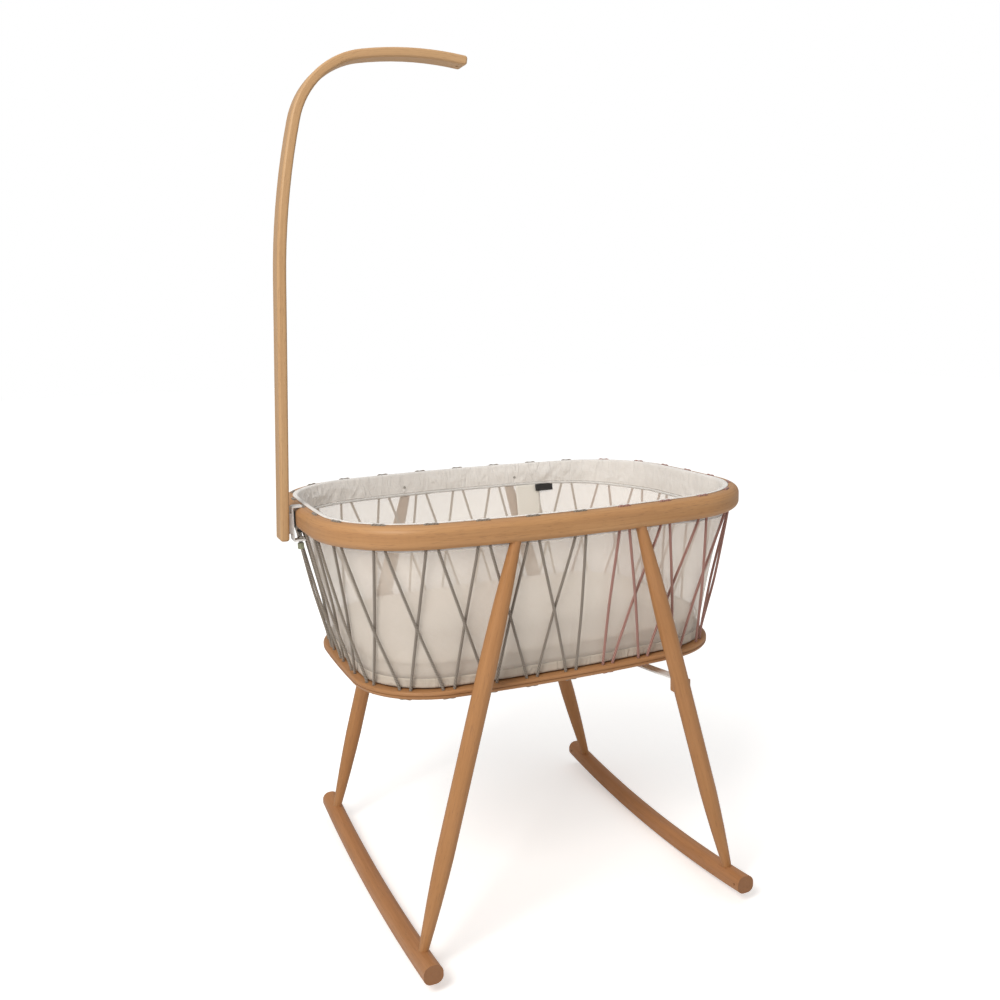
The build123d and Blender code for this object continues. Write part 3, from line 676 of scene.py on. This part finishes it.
KNOT_SIZE, KNOT_CORD_R, KNOT_STEPS = 0.0026, 0.0018, 60
knot_low, knot_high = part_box("rope_knots")
shape = bmesh.new()
uv_layer = shape.loops.layers.uv.new("rope")
for pair in (10, 11):
    x, y = stitch_holes(base_holes, pair)[2]
    centre = Vector((x / 1000 + basket_x, y / 1000, (knot_low.z + knot_high.z) / 2))
    loops = []
    for i in range(KNOT_STEPS + 1):
        t = 2 * pi * i / KNOT_STEPS
        ring = 1 + 0.42 * cos(3 * t)
        loops.append(centre + KNOT_SIZE * Vector((ring * cos(2 * t), ring * sin(2 * t), 0.55 * sin(3 * t))))
    sweep(shape, uv_layer, loops, KNOT_CORD_R, 8)
knots = piece_of("lacing_knots", shape, taupe_cord)
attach(knots, "cradle")
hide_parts("rope_knots")


# ---- Liner: cloth helpers ----
# The liner is sewn from sheets that stand round the basket. Each sheet is a grid of
# rows up the wall, with u as metres round the basket and v as metres up the cloth.
def ripple(x, y, z, size, seed):
    """Smooth random value, from -1 to 1, with features of a size in millimetres."""
    return noise.noise(Vector((x / size + seed, y / size, z / size)))


def shaped_by(made, kind, **settings):
    """Adds a modifier with its settings and applies it to the piece's mesh."""
    modifier = made.modifiers.new(kind, kind)
    for key, value in settings.items():
        setattr(modifier, key, value)
    bpy.context.view_layer.objects.active = made
    bpy.ops.object.modifier_apply(modifier=modifier.name)


def standing_cloth(name, rows, spot_at, material, thick, columns=320):
    """A closed band of cloth. spot_at(t, row) gives the point at turn t of a row, in millimetres."""
    shape = bmesh.new()
    uv_layer = shape.loops.layers.uv.new("cloth")
    grid = []
    for row in rows:
        ring = []
        for k in range(columns):
            x, y, z = spot_at(k / columns, row)
            ring.append(shape.verts.new((x / 1000 + basket_x, y / 1000, z / 1000)))
        grid.append(ring)
    around = sum((grid[0][k].co - grid[0][k - 1].co).length for k in range(columns))
    heights = [0.0]
    for lower, upper in zip(grid, grid[1:]):
        heights.append(heights[-1] + (upper[0].co - lower[0].co).length)
    for i in range(len(grid) - 1):
        for k in range(columns):
            following = (k + 1) % columns
            face = shape.faces.new((grid[i][k], grid[i][following], grid[i + 1][following], grid[i + 1][k]))
            face.smooth = True
            spots = ((k, i), (k + 1, i), (k + 1, i + 1), (k, i + 1))
            for loop, (u, v) in zip(face.loops, spots):
                loop[uv_layer].uv = (u / columns * around, heights[v])
    made = piece_of(name, shape, material)
    shaped_by(made, "SOLIDIFY", thickness=thick, offset=0)
    return made, around, heights[-1]


RIM_INSIDE = 12.4               # from the stitches to the rim's inner face
HEM_INSET = 14.5                # from the base's edge to the hem
face_line = stitch_line.inside(RIM_INSIDE)
hem_line = base_edge.inside(HEM_INSET)
BAND_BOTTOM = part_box("liner_band")[0].z * 1000
HEM_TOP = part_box("liner_hem")[1].z * 1000
HEM_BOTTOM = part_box("liner_hem")[0].z * 1000


DIP, DIP_FROM, DIP_TO = 12, 170, 370


def band_dip(x):
    """How far the band's lower edge dips towards the basket's right end, in millimetres."""
    return DIP * max(0.0, min(1.0, (x - DIP_FROM) / (DIP_TO - DIP_FROM))) ** 1.8


# Weave, stitches and crease tone of the cotton, as a group that the band and hem share.
cotton_group, cotton_in, cotton_out = new_group(
    "cotton weave", [("UV", "vector"), ("Light", "colour"), ("Dark", "colour"), ("Seam height", "value")],
    [("Colour", "colour"), ("Height", "value"), ("Creases", "value")])
tree = cotton_group
u, v, _ = add_node(tree, "ShaderNodeSeparateXYZ", (cotton_in["UV"],)).outputs
THREAD = 0.0011
warp = maths(tree, "SINE", maths(tree, "MULTIPLY", u, 2 * pi / THREAD))
weft = maths(tree, "SINE", maths(tree, "MULTIPLY", v, 2 * pi / THREAD))
weave = maths(tree, "MULTIPLY", warp, weft)
slub = add_node(tree, "ShaderNodeTexNoise",
                {"Vector": add_node(tree, "ShaderNodeMapping",
                                    {"Vector": cotton_in["UV"], "Scale": (60, 700, 1)}).outputs[0],
                 "Scale": 1.0, "Detail": 3.0}).outputs[0]
mottle = add_node(tree, "ShaderNodeTexNoise",
                  {"Vector": cotton_in["UV"], "Scale": 22.0, "Detail": 3.0}).outputs[0]
tone = maths(tree, "MULTIPLY_ADD", mottle, 0.6, maths(tree, "MULTIPLY", slub, 0.4))
cloth_colour = mix(tree, ramp(tree, tone, (0.3, 0.0), (0.7, 1.0)), cotton_in["Dark"], cotton_in["Light"])
from_seam = maths(tree, "ABSOLUTE", maths(tree, "SUBTRACT", v, cotton_in["Seam height"]))
on_seam = ramp(tree, from_seam, (0.0, 1.0), (0.0009, 0.0))
SEAM_STEP = 0.0042
dash = ramp(tree, maths(tree, "FRACT", maths(tree, "MULTIPLY", u, 1 / SEAM_STEP)), (0.60, 1.0), (0.66, 0.0))
seam_stitch = maths(tree, "MULTIPLY", on_seam, dash)
cloth_colour = mix(tree, maths(tree, "MULTIPLY", seam_stitch, 0.3), cloth_colour, (0.93, 0.90, 0.86))
tree.links.new(cloth_colour, cotton_out["Colour"])
pucker = ramp(tree, from_seam, (0.0, 0.0), (0.004, 1.0))
height = maths(tree, "MULTIPLY_ADD", weave, 0.25, maths(tree, "MULTIPLY", pucker, 1.5))
height = maths(tree, "MULTIPLY_ADD", seam_stitch, 1.2, height)
tree.links.new(height, cotton_out["Height"])
slanted = add_node(tree, "ShaderNodeMapping", {"Vector": cotton_in["UV"], "Rotation": (0, 0, 0.5),
                                               "Scale": (38, 16, 1)}).outputs[0]
crumple = add_node(tree, "ShaderNodeTexNoise", {"Vector": slanted, "Scale": 1.0, "Detail": 4.0,
                                                "Distortion": 0.8}).outputs[0]
fold = maths(tree, "ABSOLUTE", maths(tree, "SUBTRACT", crumple, 0.5))
tree.links.new(ramp(tree, fold, (0.0, 1.0), (0.16, 0.0)), cotton_out["Creases"])


def cotton(name, light, dark, seam_height):
    made, tree, principled = new_material(name, 0.9, Sheen_Weight=0.15, Sheen_Roughness=0.6)
    group = add_node(tree, "ShaderNodeGroup", node_tree=cotton_group)
    tree.links.new(add_node(tree, "ShaderNodeUVMap", uv_map="cloth").outputs[0], group.inputs["UV"])
    group.inputs["Light"].default_value = (*light, 1)
    group.inputs["Dark"].default_value = (*dark, 1)
    group.inputs["Seam height"].default_value = seam_height
    tree.links.new(group.outputs["Colour"], principled.inputs["Base Color"])
    creased = bump(tree, group.outputs["Creases"], 0.6, 0.0025)
    woven = add_node(tree, "ShaderNodeBump", {"Height": group.outputs["Height"], "Strength": 0.5,
                                              "Distance": 0.0003, "Normal": creased}).outputs[0]
    tree.links.new(woven, principled.inputs["Normal"])
    return made


NO_SEAM = 0.5                   # a seam's height that no cloth reaches
white_cotton = cotton("white_cotton", (0.86, 0.82, 0.775), (0.77, 0.73, 0.685), 0.004)


# ---- Liner band ----
# White cotton lining the rim's inner face, sewn to the mesh below and folded over the
# rim's inner edge in a flap that ends just inside the stitches. It creases at the back.
BAND_THICK = 1.1
STUD_X, STUD_Z = 127, 734
FLAP_OUT = (-0.2, 3.2, 6.2, 8.2)        # the flap's four rows, out from the rim's inner face
FLAP_LIFT = (0.6, 1.25, 1.2, 0.75)      # and up from its top


def band_spot(t, row):
    s = t * face_line.perimeter
    kind, level = row
    spot, normal = face_line.at(s)
    if kind == "flap":
        spot += normal * FLAP_OUT[level]
        return spot.x, spot.y, RIM_TOP + FLAP_LIFT[level] + 0.25 * ripple(spot.x, spot.y, level, 30, 5.0)
    bottom = BAND_BOTTOM - band_dip(spot.x)
    z = bottom + (RIM_TOP - 1.5 - bottom) * level
    slack = sin(pi * min(level / 0.95, 1))
    diagonal = spot.x * 0.8 + z * 1.7
    crease = ripple(diagonal, spot.y * 0.4, 0, 30, 2.0) * 1.5 + ripple(spot.x, spot.y, z, 14, 9.0) * 0.8
    gathered = max(0, 1 - abs(spot.x - 190) / 130, 1 - abs(spot.x + 330) / 90) * (1 if spot.y > 0 else 0.3)
    ridge = 1 - abs(ripple(spot.x - z * 0.9, spot.y * 0.7, 0, 15, 21.0)) * 2.4
    crease += gathered * max(ridge, 0) ** 2 * 4.5
    near_stud = min(hypot(abs(spot.x) - STUD_X, z - STUD_Z) / 18, 1)
    inward = 0.9 + slack * (1.5 + crease) * near_stud
    spot -= normal * inward
    return spot.x, spot.y, z


band_rows = [("wall", i / 12) for i in range(13)] + [("flap", i) for i in range(4)]
band, band_around, band_up = standing_cloth("liner_cotton_band", band_rows, band_spot, white_cotton,
                                            BAND_THICK / 1000, 480)
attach(band, "cradle")
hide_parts("liner_band")


# ---- Liner piping ----
# A cord wrapped in the same cotton, sewn in along the band's lower edge. It dips with
# the band towards the right end.
shape = bmesh.new()
uv_layer = shape.loops.layers.uv.new("cloth")
line = []
for k in range(361):
    spot, normal = face_line.at(k / 360 * face_line.perimeter)
    wander = 0.5 * ripple(spot.x, spot.y, 0, 45, 3.0)
    spot = spot - normal * 2.4
    line.append(Vector((spot.x / 1000 + basket_x, spot.y / 1000,
                        (BAND_BOTTOM - 1.2 - band_dip(spot.x) + wander) / 1000)))
sweep(shape, uv_layer, line, 0.0026, 8)
# The piping's cotton is painted lighter than the band's same cotton: painted light on the piping.
piping_cotton_painted_light = cotton("piping_painted_lighter", (0.93, 0.90, 0.86), (0.87, 0.83, 0.78), NO_SEAM)
piping = piece_of("liner_cotton_piping", shape, piping_cotton_painted_light)
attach(piping, "cradle")
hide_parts("liner_piping")


# ---- Liner mesh ----
# A sheer knitted wall that tapers from the piping down to the hem. It is held taut, so
# it is nearly flat, and what stands behind it shows through.
knit, tree, principled = new_material("cream_knit", 0.85, Sheen_Weight=0.2, Sheen_Roughness=0.5)
uv = add_node(tree, "ShaderNodeUVMap", uv_map="cloth").outputs[0]
u, v, _ = add_node(tree, "ShaderNodeSeparateXYZ", (uv,)).outputs
column = maths(tree, "SINE", maths(tree, "MULTIPLY", u, 2 * pi / 0.0024))
course = maths(tree, "SINE", maths(tree, "MULTIPLY_ADD", v, 2 * pi / 0.0021,
                                   maths(tree, "MULTIPLY", column, 1.2)))
cell = maths(tree, "MULTIPLY", column, course)
cloud = add_node(tree, "ShaderNodeTexNoise", {"Vector": uv, "Scale": 9.0, "Detail": 3.0}).outputs[0]
tree.links.new(ramp(tree, cloud, (0.3, (0.76, 0.67, 0.58)), (0.7, (0.82, 0.74, 0.65))),
               principled.inputs["Base Color"])
hole = maths(tree, "MULTIPLY_ADD", cell, 0.10, maths(tree, "MULTIPLY_ADD", cloud, 0.06, 0.36))
tree.links.new(hole, principled.inputs["Alpha"])
tree.links.new(bump(tree, cell, 0.3, 0.0003), principled.inputs["Normal"])

WALL_ROWS = 18


def wall_spot(t, level):
    top, normal = face_line.at(t * face_line.perimeter)
    foot, _ = hem_line.at(t * hem_line.perimeter)
    spot = foot.lerp(top, level)
    bottom, upper = HEM_TOP - 2, BAND_BOTTOM + 3 - band_dip(top.x)
    z = bottom + (upper - bottom) * level
    slack = sin(pi * level)
    pull = 1.5 + slack * (1.4 + 0.9 * ripple(spot.x, spot.y, z * 0.4, 55, 4.0))
    spot = spot - normal * pull
    return spot.x, spot.y, z


wall_rows = [i / WALL_ROWS for i in range(WALL_ROWS + 1)]
wall, wall_around, wall_up = standing_cloth("liner_knit_wall", wall_rows, wall_spot, knit, 0.0004, 360)
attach(wall, "cradle")
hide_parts("liner_mesh")


# ---- Liner hem and floor ----
# A cotton hem closes the foot of the mesh wall, and carries the liner's thin floor,
# which lies on the base panel under the mattress.
hem_cotton = cotton("hem_cotton", (0.62, 0.54, 0.45), (0.53, 0.455, 0.37), NO_SEAM)


def hem_spot(t, level):
    spot, normal = hem_line.at(t * hem_line.perimeter)
    z = HEM_BOTTOM - 1 + (HEM_TOP + 1 - HEM_BOTTOM) * level
    bulge = 1.1 + 0.6 * sin(pi * level) + 0.35 * ripple(spot.x, spot.y, z, 24, 6.0)
    spot -= normal * bulge
    return spot.x, spot.y, z


hem_rows = [i / 5 for i in range(6)]
hem, hem_around, hem_up = standing_cloth("liner_cotton_hem", hem_rows, hem_spot, hem_cotton, 0.0010, 360)
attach(hem, "cradle")
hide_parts("liner_hem")

floor_line = hem_line.inside(1.2)
floor_rings = (1.0, 0.985, 0.965, 0.9, 0.75, 0.5, 0.25)
shape = bmesh.new()
uv_layer = shape.loops.layers.uv.new("cloth")
rings = []
for scale in floor_rings:
    edge = [floor_line.at(k / 120 * floor_line.perimeter)[0] * scale for k in range(120)]
    rise = {1.0: HEM_BOTTOM + 0.5 - BASE_TOP, 0.985: 1.4}.get(scale, 0.9)
    rings.append([shape.verts.new((p.x / 1000 + basket_x, p.y / 1000,
                                   (BASE_TOP + rise + 0.1 * ripple(p.x, p.y, 0, 60, 8.0)) / 1000)) for p in edge])
for outer, inner in zip(rings, rings[1:]):
    for k in range(120):
        shape.faces.new((outer[k], outer[(k + 1) % 120], inner[(k + 1) % 120], inner[k]))
middle = shape.verts.new((basket_x, 0, (BASE_TOP + 0.9) / 1000))
for k in range(120):
    shape.faces.new((rings[-1][k], rings[-1][(k + 1) % 120], middle))
for face in shape.faces:
    face.smooth = True
    for loop in face.loops:
        loop[uv_layer].uv = loop.vert.co.xy
floor_cloth = piece_of("liner_floor_cloth", shape, hem_cotton)
shaped_by(floor_cloth, "SOLIDIFY", thickness=0.0006, offset=0)
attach(floor_cloth, "cradle")
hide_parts("liner_floor")
repaint("liner_studs", zinc)


# ---- Labels ----
# A blank woven care label and a small dark woven tag hang from the piping at the back.
# Both are sewn in along their top edge and curl a little at the bottom.
def hanging_label(name, node_name, material, curl):
    """A small rectangle of ribbon where its plain CAD solid hangs."""
    low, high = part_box(node_name)
    bpy.ops.object.select_all(action="DESELECT")
    bpy.ops.mesh.primitive_grid_add(x_subdivisions=12, y_subdivisions=14, size=1,
                                    location=((low.x + high.x) / 2, high.y, (low.z + high.z) / 2),
                                    rotation=(pi / 2, 0, 0))
    made = bpy.context.object
    made.name = made.data.name = name
    made.scale = (high.x - low.x, high.z - low.z, 1)
    bpy.ops.object.transform_apply(location=True, rotation=True, scale=True)
    made.data.uv_layers[0].name = "cloth"
    tall = high.z - low.z
    for vertex in made.data.vertices:
        down = (high.z - vertex.co.z) / tall
        lean_back = (high.y - low.y) * 0.78 * down
        wave = curl * sin(2.6 * down) + 0.0005 * sin(70 * vertex.co.x + 3 * down)
        vertex.co.y = high.y - lean_back - abs(wave)
    for polygon in made.data.polygons:
        polygon.use_smooth = True
    made.data.materials.append(material)
    shaped_by(made, "SOLIDIFY", thickness=0.0005)
    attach(made, "cradle")
    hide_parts(node_name)
    return made


def woven_tape(name, low, high):
    """Close-woven ribbon, with its threads following the label's UV."""
    made, tree, principled = new_material(name, 0.7)
    uv = add_node(tree, "ShaderNodeUVMap", uv_map="cloth").outputs[0]
    u, v, _ = add_node(tree, "ShaderNodeSeparateXYZ", (uv,)).outputs
    thread_up = maths(tree, "SINE", maths(tree, "MULTIPLY", u, 700))
    thread_across = maths(tree, "SINE", maths(tree, "MULTIPLY", v, 900))
    weave = maths(tree, "MULTIPLY_ADD", maths(tree, "MULTIPLY", thread_up, thread_across), 0.5, 0.5)
    tree.links.new(ramp(tree, weave, (0.0, low), (1.0, high)), principled.inputs["Base Color"])
    tree.links.new(bump(tree, weave, 0.3, 0.0002), principled.inputs["Normal"])
    return made


care_tape = woven_tape("care_tape", (0.76, 0.71, 0.63), (0.83, 0.785, 0.71))
care = hanging_label("care_label_tape", "care_label", care_tape, 0.0012)
dark_tape = woven_tape("dark_tape", (0.016, 0.015, 0.015), (0.03, 0.028, 0.027))
tag = hanging_label("dark_tag_tape", "liner_tag", dark_tape, 0.0004)


# ---- Mattress ----
# A flat foam pad in a quilted cotton cover, sewn round its edge with a piped seam. The
# cover stands for the whole pad. It lies loose on the liner's floor.
MATTRESS_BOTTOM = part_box("mattress_cover_base")[0].z * 1000
MATTRESS_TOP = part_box("mattress_cover_top")[1].z * 1000
MATTRESS_INSET = 5.5            # inside the hem
VOXEL = 0.006
FILL_FRAMES = 20                # how long the cover fills
MATTRESS_CAP = 0.0035           # the most that any point of it moves
mattress_line = hem_line.inside(MATTRESS_INSET)


def mattress_blank():
    """The pad before it fills: a closed slab with rounded shoulders, smaller than the real one."""
    shape = bmesh.new()
    sections = ((10, MATTRESS_BOTTOM + 1.2), (3, MATTRESS_BOTTOM + 3), (0, MATTRESS_BOTTOM + 9),
                (0, MATTRESS_TOP - 12), (2.5, MATTRESS_TOP - 6), (9, MATTRESS_TOP - 3.4))
    rings = []
    for inset, z in sections:
        line = mattress_line.inside(inset)
        rings.append([shape.verts.new((*(line.at(k / 160 * line.perimeter)[0] / 1000), z / 1000))
                      for k in range(160)])
    for lower, upper in zip(rings, rings[1:]):
        for k in range(160):
            shape.faces.new((lower[k], lower[(k + 1) % 160], upper[(k + 1) % 160], upper[k]))
    shape.faces.new(rings[-1])
    shape.faces.new(reversed(rings[0]))
    for vert in shape.verts:
        vert.co.x += basket_x
    return shape


quilt, tree, principled = new_material("quilted_cotton", 0.9, Sheen_Weight=0.15, Sheen_Roughness=0.6)
x, y, z = object_axes(tree)
QUILT_THREAD = 0.0012
warp = maths(tree, "SINE", maths(tree, "MULTIPLY", x, 2 * pi / QUILT_THREAD))
weft = maths(tree, "SINE", maths(tree, "MULTIPLY", y, 2 * pi / QUILT_THREAD))
mottle = speckle(tree, 14.0, 3.0)
tree.links.new(ramp(tree, mottle, (0.3, (0.78, 0.71, 0.63)), (0.7, (0.81, 0.75, 0.67))),
               principled.inputs["Base Color"])
tree.links.new(bump(tree, maths(tree, "MULTIPLY", warp, weft), 0.3, 0.0003), principled.inputs["Normal"])

cover = piece_of("mattress_quilt_cover", mattress_blank(), quilt)
shaped_by(cover, "REMESH", mode="VOXEL", voxel_size=VOXEL)
before = [v.co.copy() for v in cover.data.vertices]
fill = cover.modifiers.new("fill", "CLOTH")
fill.settings.use_pressure = True
fill.settings.uniform_pressure_force = 4.0
fill.settings.quality = 4
fill.settings.effector_weights.gravity = 0
fill.point_cache.frame_start, fill.point_cache.frame_end = 1, FILL_FRAMES
for step in range(1, FILL_FRAMES + 1):
    bpy.context.scene.frame_set(step)
filled = cover.evaluated_get(bpy.context.evaluated_depsgraph_get())
after = [v.co.copy() for v in filled.data.vertices]
cover.modifiers.remove(fill)
bpy.context.scene.frame_set(1)
for vertex, start, end in zip(cover.data.vertices, before, after):
    move = end - start
    if move.length > MATTRESS_CAP:
        move = move.normalized() * MATTRESS_CAP
    spot = start + move
    spot.z = max(MATTRESS_BOTTOM / 1000, min(spot.z, MATTRESS_TOP / 1000 + 0.001))
    vertex.co = spot
for vertex in cover.data.vertices:
    if vertex.co.z * 1000 > MATTRESS_TOP - 8:
        swell = 0.0009 * ripple(vertex.co.x * 1000, vertex.co.y * 1000, 0, 70, 12.0)
        vertex.co.z += swell
for polygon in cover.data.polygons:
    polygon.use_smooth = True
shaped_by(cover, "SUBSURF", levels=1, render_levels=1)
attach(cover, "mattress")
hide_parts("mattress_cover_top", "mattress_cover_base", "mattress_core")

shape = bmesh.new()
uv_layer = shape.loops.layers.uv.new("cloth")
seam_line = mattress_line.inside(-1.2)
line = []
for k in range(301):
    spot, normal = seam_line.at(k / 300 * seam_line.perimeter)
    line.append(Vector((spot.x / 1000 + basket_x, spot.y / 1000, (MATTRESS_TOP - 10) / 1000)))
sweep(shape, uv_layer, line, 0.0012, 8)
welt = piece_of("mattress_welt", shape, hem_cotton)
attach(welt, "mattress")
